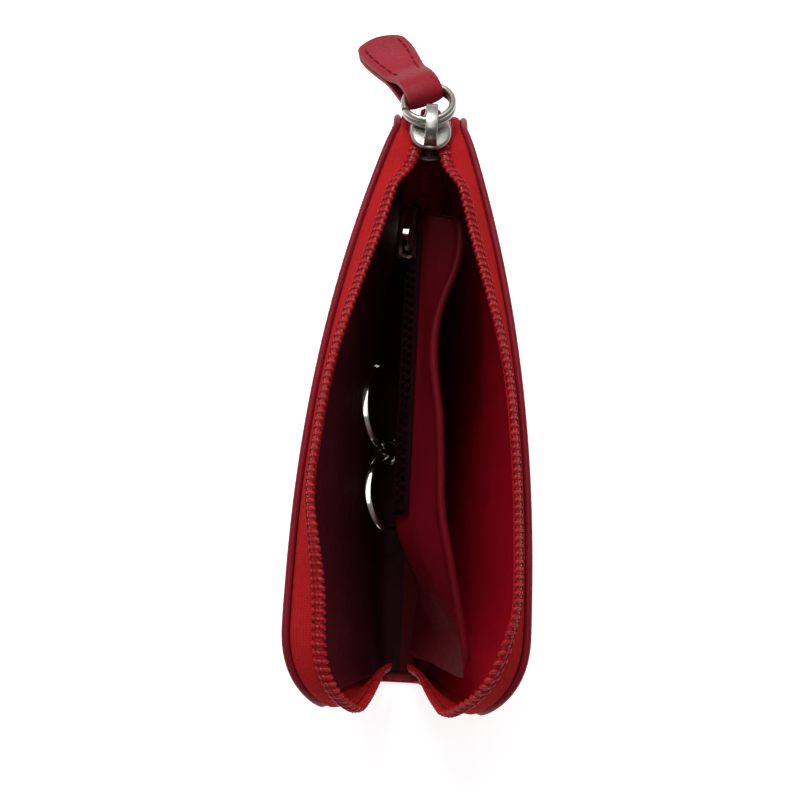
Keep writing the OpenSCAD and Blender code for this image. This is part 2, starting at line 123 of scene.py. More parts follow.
def base_half(y):
    y = np.asarray(y, float)
    far_share = np.clip(y - SPINE_MID_Y, 0, None) / (HALF_L - SPINE_MID_Y)
    near_share = np.clip(SPINE_MID_Y - y, 0, None) / (SPINE_MID_Y + HALF_L)
    far = SPINE_HALF - (SPINE_HALF - SHUT_HALF) * np.power(far_share, 2)
    near = SPINE_HALF - (SPINE_HALF - SPINE_HALF_NEAR) * np.power(near_share, 2)
    return np.where(y > SPINE_MID_Y, far, near)


def bend_r(y):
    return base_half(y) * (1 - FLAT_SHARE)


def lean(y):
    return 1 - LEAN_DROP / PANEL_H * mouth_share(y)


def panel_point(side, y, v, depth):
    """A point on a side's wall, at height v on the panel and depth under its outer face."""
    y, v, depth = np.broadcast_arrays(np.asarray(y, float), np.asarray(v, float), np.asarray(depth, float))
    b, t, r = base_half(y), top_half(y), bend_r(y)
    share = (v - r) / (PANEL_H - r)
    bow = PANEL_BOW * (1 - (y / HALF_L) ** 2) * np.sin(math.pi * np.clip(share, 0, 1))
    half = b + (t - b) * share + bow
    return np.stack([side * (half - depth), y, v * lean(y)], -1)


def outline_v(y, inset=0.0):
    y = np.abs(np.asarray(y, float))
    drop = np.sqrt(np.maximum(0, (CORNER_R - inset) ** 2 - np.maximum(0, y - STRAIGHT_L) ** 2))
    return np.where(y <= STRAIGHT_L, PANEL_H - inset, SIDE_H + drop)


def rim(s):
    """Place on the panel's outline at distance s from the middle of the top: y, v, and the outward normal."""
    s = np.asarray(s, float)
    e, a = np.sign(s) + (s == 0), np.abs(s)
    turn = np.clip((a - STRAIGHT_L) / CORNER_R, 0, math.pi / 2)
    y = e * (np.minimum(a, STRAIGHT_L) + CORNER_R * np.sin(turn))
    v = SIDE_H + CORNER_R * np.cos(turn) - np.maximum(0, a - STRAIGHT_L - CORNER_ARC)
    return y, v, e * np.sin(turn), np.cos(turn)


def rim_point(side, s, inset, depth):
    """A point on a side's wall at distance s along the rim, this far in from it."""
    y, v, ny, nv = rim(s)
    return panel_point(side, y - inset * ny, v - inset * nv, depth)


def tape_tilt(side, s):
    """Angle of the zip tape out of the mouth's plane, in radians."""
    start, length = TAPE_TURN[side]
    far = TAPE_FIRST_RISE * ease((ZIP_SPLIT_S - 0.5 - s) / 9) + (TAPE_UPRIGHT - TAPE_FIRST_RISE) * ease((36 - s) / 42)
    near = TAPE_UPRIGHT * ease((s + start) / length) + NEAR_TAPE_TUCK * ease((-s - 59) / 64)
    return np.radians(np.where(s > -15, far, near))


TAPE_DEPTH = LEATHER_T + 0.1 + TAPE_T / 2


def tape_frame(side, s):
    """Where the tape leaves the leather, the direction across it, and its outer normal."""
    ny, nv = rim(s)[2:]
    edge = rim_point(side, s, -0.3, TAPE_DEPTH)
    f = tape_tilt(side, s)
    along = np.stack([-side * np.cos(f), ny * np.sin(f), nv * np.sin(f)], -1)
    normal = np.stack([side * np.sin(f), ny * np.cos(f), nv * np.cos(f)], -1)
    return edge, along, normal


def on_tape(side, s, across, height):
    """Points over the tape at distances across it and heights, and the direction across at each."""
    edge, along, normal = tape_frame(side, s)
    across, height = (np.broadcast_to(value, s.shape)[:, None] for value in (across, height))
    return edge + along * across + normal * height, along


# ---- mesh building ----

WELD_DIST = 2e-6
DEGENERATE_DIST = 1e-7


def uv_grid(u, v):
    return np.stack(np.meshgrid(u, v, indexing="ij"), -1).reshape(-1, 2)


def ring_faces(n, m, caps=True, flip=False):
    """Quads between n closed rings of m points; caps are fans to one more point at each end."""
    faces = []
    for i in range(n - 1):
        for j in range(m):
            k = (j + 1) % m
            faces.append([i * m + j, (i + 1) * m + j, (i + 1) * m + k, i * m + k])
    if caps:
        for j in range(m):
            k = (j + 1) % m
            faces += [[n * m, j, k], [n * m + 1, (n - 1) * m + k, (n - 1) * m + j]]
    return [[f[0], *f[:0:-1]] for f in faces] if flip else faces


class Piece:
    """Collects grids, tubes and stacked solids, and turns them into one object."""

    def __init__(self):
        self.points, self.faces, self.uvs, self.face_mats = [], [], [], []
        self.count = 0

    def add(self, points, faces, uvs, mat=0):
        self.points.append(np.asarray(points, float))
        for f in faces:
            self.faces.append([i + self.count for i in f])
            self.face_mats.append(mat)
        self.uvs.append(np.asarray(uvs, float))
        self.count += len(points)

    @staticmethod
    def lengths(grid):
        du = np.linalg.norm(np.diff(grid, axis=0), axis=2).mean(axis=1)
        dv = np.linalg.norm(np.diff(grid, axis=1), axis=2).max(axis=0)
        return np.concatenate([[0], np.cumsum(du)]), np.concatenate([[0], np.cumsum(dv)])

    def sleeve(self, rings):
        """A skin over rows of points; each row closes on itself, and both ends stay open."""
        self.add(rings.reshape(-1, 3), ring_faces(*rings.shape[:2], caps=False), uv_grid(*self.lengths(rings)))

    def shell(self, outer, inner):
        """A closed sheet between two grids of the same size."""
        n, m = outer.shape[:2]
        uv = uv_grid(*self.lengths(outer))
        half = n * m
        faces = []
        for i in range(n - 1):
            for j in range(m - 1):
                a, b, c, d = i * m + j, (i + 1) * m + j, (i + 1) * m + j + 1, i * m + j + 1
                faces += [[a, b, c, d], [d + half, c + half, b + half, a + half]]
        for i in range(n - 1):
            for j in (0, m - 1):
                a, b = i * m + j, (i + 1) * m + j
                f = [a, a + half, b + half, b]
                faces.append(f if j == 0 else f[::-1])
        for j in range(m - 1):
            for i in (0, n - 1):
                a, b = i * m + j, i * m + j + 1
                f = [b, b + half, a + half, a]
                faces.append(f if i == 0 else f[::-1])
        self.add(np.concatenate([outer.reshape(-1, 3), inner.reshape(-1, 3)]), faces, np.concatenate([uv, uv]))

    def tube(self, path, radius, sides=8, up=None, flat=1.0, mat=0):
        """A capped tube along a path; flat is its size along the up direction, as a share of its width."""
        path = np.asarray(path, float)
        n = len(path)
        radius = np.broadcast_to(np.asarray(radius, float), (n,))
        tangent = unit(np.gradient(path, axis=0))
        if up is None:
            ups = np.zeros_like(path)
            guess = np.array([0, 0, 1.0]) if abs(tangent[0][2]) < 0.9 else np.array([1.0, 0, 0])
            ups[0] = unit(guess - tangent[0] * (guess @ tangent[0]))
            for i in range(1, n):
                w = ups[i - 1] - tangent[i] * (ups[i - 1] @ tangent[i])
                ups[i] = unit(w)
        else:
            up = np.broadcast_to(np.asarray(up, float), (n, 3))
            ups = unit(up - tangent * (up * tangent).sum(1, keepdims=True))
        side = np.cross(tangent, ups)
        ang = np.arange(sides) * 2 * math.pi / sides
        ring = (
            side[:, None] * np.cos(ang)[None, :, None] + ups[:, None] * (flat * np.sin(ang))[None, :, None]
        ) * radius[:, None, None]
        pts = path[:, None] + ring
        dist = np.concatenate([[0], np.cumsum(np.linalg.norm(np.diff(path, axis=0), axis=1))])
        uv = uv_grid(dist, ang * radius.mean())
        points = np.concatenate([pts.reshape(-1, 3), path[:1], path[-1:]])
        self.add(points, ring_faces(n, sides), np.concatenate([uv, uv[:1], uv[-1:]]), mat)

    def stack(self, layers, place=None):
        """A solid from outlines stacked on each other; place is a rotation and an offset for all of them."""
        rings = np.stack(layers)
        points = np.concatenate([rings.reshape(-1, 3), rings[0].mean(0)[None], rings[-1].mean(0)[None]])
        if place is not None:
            points = points @ place[0].T + place[1]
        self.add(points, ring_faces(*rings.shape[:2], flip=True), points[:, :2])

    def draw_in(self):
        """The open end's lower corners are drawn in towards the middle of the purse."""
        for pts in self.points:
            low = np.clip(1 - pts[:, 2] / SIDE_H, 0, 1)
            pts[:, 1] += NEAR_DRAW * low * ease((-pts[:, 1] - NEAR_DRAW_FROM) / NEAR_DRAW_L)
        return self

    def make(self, name, mats, slot, angle=40):
        """One smooth-shaded object in metres; edges sharper than angle, in degrees, stay sharp."""
        mesh = bpy.data.meshes.new(name)
        points = np.concatenate(self.points) * MM
        mesh.from_pydata(points.tolist(), [], self.faces)
        mesh.update()
        layer = mesh.uv_layers.new(name="UVMap")
        uv = np.concatenate(self.uvs)
        index = np.zeros(len(mesh.loops), int)
        mesh.loops.foreach_get("vertex_index", index)
        layer.data.foreach_set("uv", uv[index].ravel().astype(np.float32))
        mesh.polygons.foreach_set("material_index", np.array(self.face_mats, dtype=np.int32))
        for m in mats:
            mesh.materials.append(m)
        bm = bmesh.new()
        bm.from_mesh(mesh)
        bmesh.ops.remove_doubles(bm, verts=bm.verts, dist=WELD_DIST)
        bmesh.ops.dissolve_degenerate(bm, edges=bm.edges, dist=DEGENERATE_DIST)
        bmesh.ops.recalc_face_normals(bm, faces=bm.faces)
        bm.to_mesh(mesh)
        bm.free()
        mesh.shade_smooth()
        mesh.set_sharp_from_angle(angle=math.radians(angle))
        obj = bpy.data.objects.new(name, mesh)
        bpy.context.scene.collection.objects.link(obj)
        return obj


def smooth_noise(rows, cols, step_r, step_c, seed):
    """A grid of smooth random values between about -1 and 1."""
    r = np.random.default_rng(seed)
    coarse = r.uniform(-1, 1, (rows // step_r + 4, cols // step_c + 4))

    def spread(a, count, step):
        t = np.arange(count) / step
        i = t.astype(int)
        f = ease(t - i)[:, None]
        return a[i] * (1 - f) + a[i + 1] * f

    return spread(spread(coarse, rows, step_r).T, cols, step_c).T


def rot(axis, degrees):
    return np.array(Matrix.Rotation(math.radians(degrees), 3, axis))


# ---- materials ----

# Distance between threads of a weave or strands of a yarn, in UV millimetres.
SATIN_PITCH = 0.32
RIB_PITCH = 0.62
WEFT_PITCH = 0.5
TWIST_PITCH = 0.34


class Nodes:
    """Short hand for a material's node tree."""

    def __init__(self, name):
        self.mat = bpy.data.materials.new(name)
        self.mat.use_nodes = True
        self.tree = self.mat.node_tree
        self.tree.nodes.clear()
        self.out = self.node("ShaderNodeOutputMaterial")
        self.bsdf = self.node("ShaderNodeBsdfPrincipled")
        self.link(self.bsdf, "BSDF", self.out, "Surface")

    def node(self, kind, **values):
        n = self.tree.nodes.new(kind)
        for k, v in values.items():
            if k in n.inputs:
                n.inputs[k].default_value = v
            else:
                setattr(n, k, v)
        return n

    def link(self, a, out, b, into):
        self.tree.links.new(a.outputs[out], b.inputs[into])

    def coords(self):
        if not hasattr(self, "_coords"):
            self._coords = self.node("ShaderNodeTexCoord")
        return self._coords

    def noise(self, scale, detail=3.0, rough=0.55):
        n = self.node("ShaderNodeTexNoise", Scale=scale, Detail=detail, Roughness=rough)
        self.link(self.coords(), "Object", n, "Vector")
        return n.outputs["Fac"]

    def cells(self, scale):
        """Distance to the border between random cells."""
        n = self.node("ShaderNodeTexVoronoi", feature="DISTANCE_TO_EDGE", Scale=scale)
        self.link(self.coords(), "Object", n, "Vector")
        return n.outputs["Distance"]

    def ramp(self, source, stops):
        n = self.node("ShaderNodeValToRGB")
        e = n.color_ramp.elements
        while len(e) < len(stops):
            e.new(0.5)
        for el, (pos, col) in zip(e, stops):
            el.position = pos
            el.color = (*col, 1)
        self.tree.links.new(source, n.inputs["Fac"])
        return n.outputs["Color"]

    def math(self, op, a, b=None, c=None):
        n = self.node("ShaderNodeMath", operation=op)
        for i, x in enumerate((a, b, c)):
            if x is None:
                continue
            if isinstance(x, (int, float)):
                n.inputs[i].default_value = x
            else:
                self.tree.links.new(x, n.inputs[i])
        return n.outputs[0]

    def map_range(self, source, lo, hi, to_lo, to_hi):
        n = self.node("ShaderNodeMapRange")
        for name, value in (("From Min", lo), ("From Max", hi), ("To Min", to_lo), ("To Max", to_hi)):
            n.inputs[name].default_value = value
        self.tree.links.new(source, n.inputs["Value"])
        return n.outputs["Result"]

    def uv(self):
        """The two UV values, in millimetres along and across the piece."""
        sep = self.node("ShaderNodeSeparateXYZ")
        self.link(self.coords(), "UV", sep, "Vector")
        return sep.outputs["X"], sep.outputs["Y"]

    def wave(self, value, pitch, phase=0.0):
        return self.math("SINE", self.math("MULTIPLY_ADD", value, 2 * math.pi / pitch, phase))

    def bump(self, height, strength, distance, before=None):
        n = self.node("ShaderNodeBump", Strength=strength, Distance=distance)
        self.tree.links.new(height, n.inputs["Height"])
        if before is not None:
            self.link(before, "Normal", n, "Normal")
        self.link(n, "Normal", self.bsdf, "Normal")
        return n

    def set(self, **values):
        for k, v in values.items():
            self.bsdf.inputs[k.replace("_", " ")].default_value = v

    def feed(self, source, into):
        self.tree.links.new(source, self.bsdf.inputs[into])

    def roughness(self, source, low, high):
        """Roughness that follows a noise between two values."""
        self.feed(self.map_range(source, 0.3, 0.7, low, high), "Roughness")

    def mix_color(self, fac, a, b, blend="MIX"):
        n = self.node("ShaderNodeMix", data_type="RGBA", blend_type=blend)
        for i, x in ((0, fac), (6, a), (7, b)):
            if isinstance(x, (int, float)):
                n.inputs[i].default_value = x
            elif isinstance(x, tuple):
                n.inputs[i].default_value = (*x, 1)
            else:
                self.tree.links.new(x, n.inputs[i])
        return n.outputs[2]


def leather_material(name, dark, light, worn, grain=1700.0, rough=(0.34, 0.5)):
    """Grained leather, cloudy between two reds, with its exposed edges worn; rough is a range."""
    m = Nodes(name)
    big = m.noise(55.0, 4.0)
    fine = m.noise(900.0, 3.0)
    colour = m.ramp(big, [(0.32, dark), (0.68, light)])
    pores = m.cells(grain)
    groove = m.ramp(pores, [(0.0, (0.72, 0.72, 0.72)), (0.16, (1, 1, 1))])
    toned = m.mix_color(1.0, colour, groove, "MULTIPLY")
    edge = m.node("ShaderNodeNewGeometry")
    wear = m.map_range(edge.outputs["Pointiness"], 0.53, 0.62, 0.0, 0.45)
    m.feed(m.mix_color(wear, toned, worn), "Base Color")
    m.roughness(fine, *rough)
    b1 = m.bump(pores, 0.35, 0.00012)
    b2 = m.bump(big, 0.25, 0.0006, b1)
    m.bump(fine, 0.12, 0.0001, b2)
    m.set(Specular_IOR_Level=0.14)
    return m.mat


def satin_material(name, dark, light, sheen, painted_shade):
    """Woven satin; the last argument is an axis with two places along it and the colour's strength at each: painted
    shade that darkens the cloth by where it lies.
    """
    m = Nodes(name)
    u, v = m.uv()
    warp = m.wave(u, SATIN_PITCH)
    weft = m.wave(v, SATIN_PITCH * 3.1)
    twill = m.wave(m.math("ADD", u, m.math("MULTIPLY", v, 0.5)), SATIN_PITCH * 1.5)
    weave = m.math("ADD", m.math("MULTIPLY", warp, 0.5), m.math("MULTIPLY", m.math("ADD", weft, twill), 0.25))
    cloud = m.noise(42.0, 3.0)
    slub = m.noise(420.0, 2.0)
    colour = m.ramp(cloud, [(0.3, dark), (0.7, light)])
    shade = m.map_range(m.math("ADD", weave, m.math("MULTIPLY", slub, 0.9)), -0.8, 1.6, 0.0, 1.0)
    cloth = m.mix_color(m.math("MULTIPLY", shade, 0.35), colour, sheen)
    # Painted shade: the colour is multiplied down by where the cloth lies along one axis.
    place = m.node("ShaderNodeSeparateXYZ")
    m.link(m.coords(), "Object", place, "Vector")
    strength = m.map_range(place.outputs[painted_shade[0]], *painted_shade[1:])
    painted_shade_grey = m.node("ShaderNodeCombineColor")
    for channel in range(3):
        m.tree.links.new(strength, painted_shade_grey.inputs[channel])
    m.feed(m.mix_color(1.0, cloth, painted_shade_grey.outputs[0], "MULTIPLY"), "Base Color")
    m.roughness(slub, 0.52, 0.66)
    b1 = m.bump(weave, 0.25, 0.00006)
    b2 = m.bump(slub, 0.18, 0.0002, b1)
    m.bump(cloud, 0.35, 0.0012, b2)
    m.set(Sheen_Weight=0.1, Sheen_Roughness=0.4, Sheen_Tint=(*sheen, 1), Specular_IOR_Level=0.08)
    return m.mat


def tape_material(name, dark, light, sheen):
    """Woven zip tape: ribs along it with a fine herringbone across."""
    m = Nodes(name)
    u, v = m.uv()
    rib = m.wave(v, RIB_PITCH)
    weft = m.wave(m.math("ADD", u, m.math("MULTIPLY", m.wave(v, RIB_PITCH), 0.06)), WEFT_PITCH)
    chevron = m.wave(m.math("ADD", u, m.math("MULTIPLY", v, 0.8)), WEFT_PITCH)
    height = m.math("ADD", m.math("MULTIPLY", rib, 0.6), m.math("MULTIPLY", m.math("ADD", weft, chevron), 0.3))
    fuzz = m.noise(700.0, 3.0)
    cloud = m.noise(60.0, 2.0)
    shade = m.map_range(m.math("ADD", height, fuzz), -1.2, 1.6, 0.0, 1.0)
    base = m.mix_color(shade, dark, light)
    m.feed(m.mix_color(m.map_range(cloud, 0.35, 0.7, 0.0, 0.5), base, sheen), "Base Color")
    m.set(Roughness=0.8, Sheen_Weight=0.06, Sheen_Roughness=0.5, Sheen_Tint=(*light, 1), Specular_IOR_Level=0.06)
    b1 = m.bump(height, 0.5, 0.0001)
    m.bump(fuzz, 0.25, 0.00012, b1)
    return m.mat


def nylon_material(name, dark, light):
    """Moulded nylon that lets a little light in."""
    m = Nodes(name)
    n = m.noise(260.0, 3.0)
    colour = m.ramp(n, [(0.3, dark), (0.72, light)])
    m.feed(colour, "Base Color")
    m.roughness(n, 0.24, 0.4)
    m.bump(n, 0.15, 0.0001)
    m.set(Subsurface_Weight=0.1, Subsurface_Scale=0.0006, Specular_IOR_Level=0.2)
    m.bsdf.inputs["Subsurface Radius"].default_value = (1.0, 0.3, 0.2)
    return m.mat


def thread_material(name, dark, light):
    """Twisted sewing thread."""
    m = Nodes(name)
    u, v = m.uv()
    twist = m.wave(m.math("ADD", u, m.math("MULTIPLY", v, 0.9)), TWIST_PITCH)
    shade = m.map_range(twist, -1, 1, 0.0, 1.0)
    m.feed(m.mix_color(shade, dark, light), "Base Color")
    m.bump(twist, 0.5, 0.00008)
    m.set(Roughness=0.7, Specular_IOR_Level=0.06)
    return m.mat


def metal_material(name, dark, light, rough):
    """Plated metal with faint clouds and hair scratches; rough is a range."""
    m = Nodes(name)
    cloud = m.noise(120.0, 3.0)
    hair = m.noise(1500.0, 2.0, 0.6)
    colour = m.ramp(cloud, [(0.3, dark), (0.7, light)])
    m.feed(colour, "Base Color")
    m.roughness(hair, *rough)
    b1 = m.bump(hair, 0.04, 0.00003)
    m.bump(cloud, 0.03, 0.0002, b1)
    m.set(Metallic=1.0)
    return m.mat


def floor_material():
    """A pale floor that also gives off some light, so it comes out nearly white with a faint shadow."""
    m = Nodes("floor_pale")
    tone = m.ramp(m.noise(3.0, 2.0), [(0.3, (0.80, 0.80, 0.80)), (0.7, (0.84, 0.84, 0.84))])
    m.feed(tone, "Base Color")
    m.set(Roughness=0.9, Specular_IOR_Level=0.1, Emission_Color=(1, 1, 1, 1), Emission_Strength=FLOOR_GLOW)
    return m.mat


RED_LEATHER = leather_material("red_leather", (0.20, 0.004, 0.016), (0.28, 0.007, 0.022), (0.38, 0.03, 0.05))
PULL_LEATHER = leather_material(
    "pull_leather", (0.27, 0.010, 0.022), (0.36, 0.016, 0.030), (0.42, 0.05, 0.06), grain=1500.0, rough=(0.45, 0.6)
)
LEATHER_EDGE = leather_material(
    "leather_edge", (0.20, 0.004, 0.014), (0.28, 0.007, 0.020), (0.38, 0.03, 0.045), grain=2200.0, rough=(0.38, 0.5)
)

# Painted shade: the cloth is darkened deep in the purse and towards the pocket's far end, where shade falls: axis, two
# places in metres, strength at each.
DEEP_PAINTED_SHADE = ("Z", 0.006, 0.055, 0.15, 1.0)
FAR_PAINTED_SHADE = ("Y", 0.010, 0.044, 1.0, 0.22)
# Lit and shaded copies of one lining satin: the back lining's darker, bluer copy has its shade painted in, and the
# front's brighter copy has its light painted in. The key tab's cloth uses the darker copy too.
SHADED_LINING_SATIN = satin_material(
    "dark_satin", (0.15, 0.016, 0.030), (0.20, 0.022, 0.040), (0.24, 0.026, 0.046), DEEP_PAINTED_SHADE
)
LIT_LINING_SATIN = satin_material(
    "lining_satin", (0.38, 0.002, 0.014), (0.52, 0.004, 0.020), (0.60, 0.008, 0.026), DEEP_PAINTED_SHADE
)
SCARLET_SATIN = satin_material(
    "scarlet_satin", (0.09, 0.0012, 0.005), (0.13, 0.0018, 0.007), (0.19, 0.004, 0.009), FAR_PAINTED_SHADE
)

TAPE = tape_material("zip_tape_weave", (0.34, 0.008, 0.010), (0.52, 0.018, 0.020), (0.44, 0.014, 0.016))
COIL = nylon_material("zip_coil_nylon", (0.34, 0.008, 0.014), (0.50, 0.020, 0.024))
COIL_CORE = nylon_material("zip_coil_core", (0.27, 0.006, 0.010), (0.36, 0.010, 0.014))
ZIP_THREAD = thread_material("zip_thread", (0.24, 0.006, 0.010), (0.38, 0.012, 0.016))
SEAM_THREAD = thread_material("seam_thread", (0.10, 0.002, 0.008), (0.20, 0.005, 0.014))
PULL_THREAD = thread_material("pull_thread", (0.19, 0.006, 0.014), (0.28, 0.010, 0.020))
DARK_CHROME = metal_material("dark_chrome", (0.45, 0.43, 0.395), (0.52, 0.50, 0.455), (0.26, 0.34))
RING_STEEL = metal_material("ring_steel", (0.86, 0.86, 0.86), (0.93, 0.93, 0.93), (0.09, 0.15))

# Painted shade: the pocket's zip tape and teeth are nearly black, and its slider and pull use a dimmed copy of the
# plated metal. Together they stand in for the shade inside the pocket.
SHADED_POCKET_TAPE = tape_material("pocket_tape_weave", (0.006, 0.001, 0.002), (0.014, 0.002, 0.004), (0.012, 0.002, 0.003))
SHADED_POCKET_TEETH = nylon_material("pocket_teeth", (0.008, 0.002, 0.003), (0.016, 0.003, 0.005))
SHADED_POCKET_METAL = metal_material("pocket_metal", (0.16, 0.12, 0.11), (0.26, 0.21, 0.19), (0.26, 0.38))


def dress(names, material):
    """Solids that keep their shape get a material of their own."""
    for name in names:
        for s in nodes[name].material_slots:
            s.material = material
        nodes[name].data.shade_smooth()


# ---- baking a piece's placement ----


def bend_with_flap(obj):
    """The piece's placement is baked into its mesh."""
    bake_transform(obj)


# ---- leather shell ----

# Points across the flat of the spine and round its bend, and the height where a rim path leaves the bend.
FLAT_STEPS = 4
BEND_STEPS = 9
FOOT_V = 8
SEAM_INSET = 2.5
STITCH_L = 2.3
STITCH_PITCH = 3.1
STITCH_R = 0.24


def stations(half, radius, straight_count, corner_step):
    """Places along the purse for its cross-sections, closer together where the corners are round."""
    corner = [half - radius + radius * math.sin(math.radians(a)) for a in np.arange(0, 90.1, corner_step)]
    straight = np.linspace(-(half - radius), half - radius, straight_count)[1:-1]
    return np.concatenate([[-c for c in corner[::-1]], straight, corner])


def section(side, y, top_v, depth, wall=58):
    """Half of a cross-section, from the middle of the spine up to top_v; depth is one value or one per wall point."""
    b, r, k = float(base_half(y)), float(bend_r(y)), float(lean(y))
    flat = b - r
    d = np.broadcast_to(np.asarray(depth, float), (FLAT_STEPS + BEND_STEPS + wall,))
    pts = [[side * x, y, d[i] * k] for i, x in enumerate(np.linspace(0, flat, FLAT_STEPS + 1)[:-1])]
    for i, a in enumerate(np.radians(np.linspace(0, 90, BEND_STEPS))):
        q = d[FLAT_STEPS + i]
        pts.append([side * (flat + (r - q) * math.sin(a)), y, (r - (r - q) * math.cos(a)) * k])
    v = np.linspace(r, top_v, wall + 1)[1:]
    pts += panel_point(side, np.full(wall, y), v, d[FLAT_STEPS + BEND_STEPS :]).tolist()
    return np.array(pts)


def outline_path(side, inset, depth, step=1.4):
    """Along the edge of a half shell: up the near end, over the top and down the far end."""
    wall = rim_point(side, np.arange(-RIM_REACH + FOOT_V, RIM_REACH - FOOT_V + step, step), inset, depth)

    def foot(end):
        return section(side, end * (HALF_L - inset), FOOT_V, depth, wall=4)[:-1]

    return np.concatenate([foot(-1), wall, foot(1)[::-1]])


def leather_half(side):
    """Half of the folded leather: spine, bend and wall, with a rounded edge along the rim."""
    p = Piece()
    ys = stations(HALF_L, CORNER_R, 84, 6)
    p.shell(
        np.stack([section(side, y, float(outline_v(y)), 0.0) for y in ys]),
        np.stack([section(side, y, float(outline_v(y)), LEATHER_T) for y in ys]),
    )
    p.tube(outline_path(side, 0.3, 0.7, 1.0), 0.76, sides=10, mat=1)
    obj = p.draw_in().make(f"leather_{SIDE_NAME[side]}", [RED_LEATHER, LEATHER_EDGE], "red_leather", angle=50)
    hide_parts(f"{SIDE_NAME[side]}_panel", "leather_base")
    bend_with_flap(obj)


def seam_stitches(side):
    """The sewn line round the outside; each stitch dips into the leather at its ends."""
    p = Piece()
    s0 = -RIM_REACH + FOOT_V + 1
    while s0 < RIM_REACH - FOOT_V - 1:
        lift = 0.16 - 0.22 * np.abs(np.linspace(-1, 1, 6)) ** 3
        p.tube(rim_point(side, np.linspace(s0, s0 + STITCH_L, 6), SEAM_INSET, -lift), STITCH_R, sides=6)
        s0 += STITCH_PITCH
    obj = p.draw_in().make(f"seam_stitches_{SIDE_NAME[side]}", [SEAM_THREAD], "red_leather")
    bend_with_flap(obj)


# ---- lining ----


LINING_INSET = 2.2


def lining_half(side):
    """Satin inside one leather half, with soft folds that die out at its edges."""
    p = Piece()
    inset = LINING_INSET
    ys = stations(HALF_L - inset, CORNER_R - inset, 72, 7.5)
    wall = 50
    cols = FLAT_STEPS + BEND_STEPS + wall
    folds = smooth_noise(len(ys), cols, 6, 22, 20 + side) * 0.55 + smooth_noise(len(ys), cols, 3, 9, 40 + side) * 0.2
    mids = []
    for i, y in enumerate(ys):
        share = np.linspace(0, 1, cols)
        ends = ease((HALF_L - inset - abs(y)) / 10)
        calm = np.sin(math.pi * np.clip((share - 0.18) / 0.82, 0, 1)) * ends
        depth = LEATHER_T + 0.35 + 0.65 * ease((share - 0.2) / 0.3) + (0.3 + 0.85 * folds[i]) * calm
        mids.append(section(side, y, float(outline_v(y, inset)), depth, wall))
    mid = np.stack(mids)
    thick = np.zeros_like(mid)
    thick[..., 0] = -side * 0.22
    thick[:, :10, 2] += 0.2
    p.shell(mid - thick * 0.5, mid + thick * 0.5)
    p.tube(outline_path(side, inset, LEATHER_T + 0.95, 1.4), 0.42, sides=6)
    # The back lining gets the copy with painted shade, and the front gets the copy with painted light.
    satin = SHADED_LINING_SATIN if side == BACK else LIT_LINING_SATIN
    obj = p.draw_in().make(f"lining_{SIDE_NAME[side]}", [satin], "dark_satin", angle=60)
    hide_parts(f"{SIDE_NAME[side]}_lining", "lining_base")
    bend_with_flap(obj)


# ---- main zip ----

TAPE_EDGE = 5.7
COIL_MID = 5.75
COIL_HALF = 1.1
COIL_PITCH = 1.5
COIL_LIFT = TAPE_T / 2 + 0.74
COIL_PHASE = {FRONT: 0.0, BACK: 0.5}
TURN_POINTS = 16
THREAD_POINTS = 8


def tape_half(side):
    """The woven tape: a sewn hem behind the leather, a bend round the rim and a free strip."""
    p = Piece()
    s = np.arange(OPEN_END_S, SHUT_END_S + 0.9, 0.9)
    edge, along, normal = tape_frame(side, s)
    hem = [rim_point(side, s, inset, TAPE_DEPTH) for inset in (3.9, 2.9, 1.9, 1.0)]
    sewn = rim_point(side, s, 0.9, TAPE_DEPTH)
    bend = []
    for t in np.linspace(0, 1, 6)[1:]:
        bend.append((1 - t) ** 2 * sewn + 2 * t * (1 - t) * edge + t * t * (edge + along * 0.9))
    free = [edge + along * a for a in np.linspace(0.9, TAPE_EDGE, 11)[1:]]
    mid = np.stack(hem + bend + free, 1)
    du, dv = np.gradient(mid, axis=0), np.gradient(mid, axis=1)
    n = unit(np.cross(du, dv))
    if (n[len(n) // 2, -1] @ normal[len(n) // 2]) < 0:
        n = -n
    p.shell(mid + n * TAPE_T / 2, mid - n * TAPE_T / 2)
    obj = p.draw_in().make(f"zip_tape_{SIDE_NAME[side]}", [TAPE], "zip_tape", angle=60)
    name = SIDE_NAME[side]
    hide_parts(f"{name}_tape", f"{name}_tape_far")
    bend_with_flap(obj)


def coil_turns():
    """Where the coil starts on the rim, and how many turns it has."""
    start = OPEN_END_S + 3.2
    return start, int((SHUT_END_S - 4.4 - start) / COIL_PITCH)


def coil_half(side):
    """A nylon coil: its loops cross the zip squarely on the outside and step along underneath."""
    start, turns = coil_turns()
    t = np.arange(turns * TURN_POINTS + 1) / TURN_POINTS
    ang = 2 * math.pi * t
    s = start + (t + 0.9 * np.cos(ang) / (2 * math.pi) + COIL_PHASE[side]) * COIL_PITCH
    loops, _ = on_tape(side, s, COIL_MID + COIL_HALF * np.cos(ang), COIL_LIFT + 0.34 * np.sin(ang))
    head = np.clip(np.cos(ang), 0, 1) ** 3
    p = Piece()
    p.tube(loops, 0.43 + 0.04 * head, sides=8)
    core_s = np.arange(start - 0.6, start + (turns + 0.6) * COIL_PITCH, 1.0)
    core, along = on_tape(side, core_s, COIL_MID, COIL_LIFT + 0.02)
    p.tube(core, 0.5, sides=10, up=along, flat=2.2, mat=1)
    clip, along = on_tape(side, np.linspace(OPEN_END_S + 0.5, OPEN_END_S + 2.3, 7), COIL_MID, COIL_LIFT)
    p.tube(clip, 0.62 * np.sqrt(1 - 0.6 * np.linspace(-1, 1, 7) ** 4), sides=12, up=along, flat=2.3)
    obj = p.draw_in().make(f"zip_coil_{SIDE_NAME[side]}", [COIL, COIL_CORE], "zip_coil", angle=60)
    name = SIDE_NAME[side]
    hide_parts(f"{name}_coil", f"{name}_coil_far", f"{name}_start_stop")
    bend_with_flap(obj)


